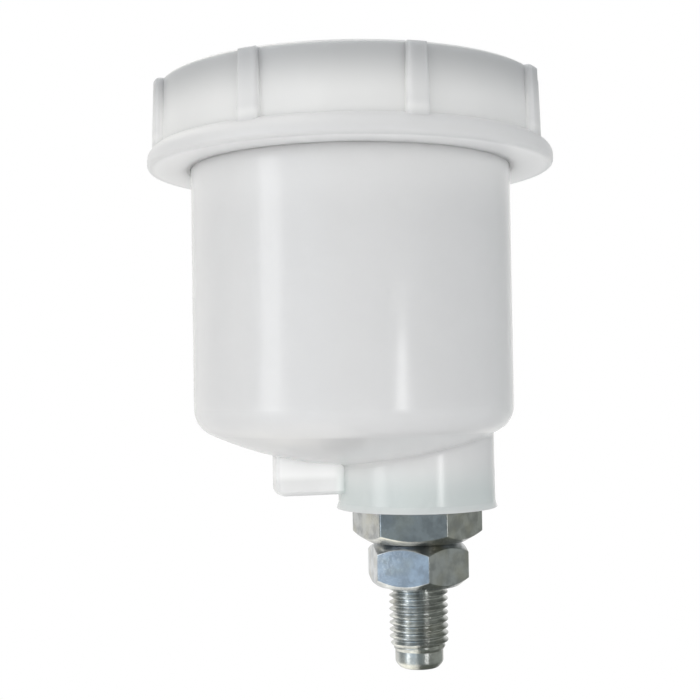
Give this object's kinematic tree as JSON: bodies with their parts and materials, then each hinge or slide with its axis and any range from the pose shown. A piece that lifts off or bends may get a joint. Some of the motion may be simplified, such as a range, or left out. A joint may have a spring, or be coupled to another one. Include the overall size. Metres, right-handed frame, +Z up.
{
  "type": "fluid reservoir",
  "caption": "Translucent plastic fluid reservoir with a ribbed screw cap, an off-centre boss and a steel threaded outlet stud with a lock nut.",
  "frame": {"origin": "where the outlet stud's axis crosses the plane of the lock nut's underside", "axes": "+Z up along the stud towards the cap; +X from the cup's axis to the stud's axis"},
  "size_m": [0.0748, 0.0748, 0.1082],
  "materials": {
    "cup_plastic": "translucent milky white moulding, satin",
    "cap_plastic": "translucent milky white moulding, satin",
    "gasket_rubber": "pale, smooth",
    "seal_rubber": "black, smooth",
    "plated_steel": "bright zinc plate over turned steel"
  },
  "bodies": {
    "reservoir": {"reservoir_body": "cup_plastic", "outlet_adapter": "plated_steel", "adapter_o_ring": "seal_rubber"},
    "gasket": {"cap_gasket": "gasket_rubber"},
    "cap": {"cap": "cap_plastic"},
    "lock_nut": {"lock_nut": "plated_steel"}
  },
  "joints": [
    {"name": "cap_lift", "type": "slide", "parent": "reservoir", "child": "gasket", "axis": [0, 0, 1], "range_m": [0, 0.01125]},
    {"name": "cap_turn", "type": "hinge", "parent": "gasket", "child": "cap", "pos_m": [-0.012, 0, 0.0902], "axis": [0, 0, 1], "range_deg": [0, 811]},
    {"name": "lock_nut_turn", "type": "hinge", "parent": "reservoir", "child": "lock_nut", "pos_m": [0, 0, 0.004], "axis": [0, 0, 1], "range_deg": [-2970, 56]}
  ],
  "couplings": [
    {"joint": "cap_turn", "follows": "cap_lift", "rad_per_m": 1256.6}
  ]
}
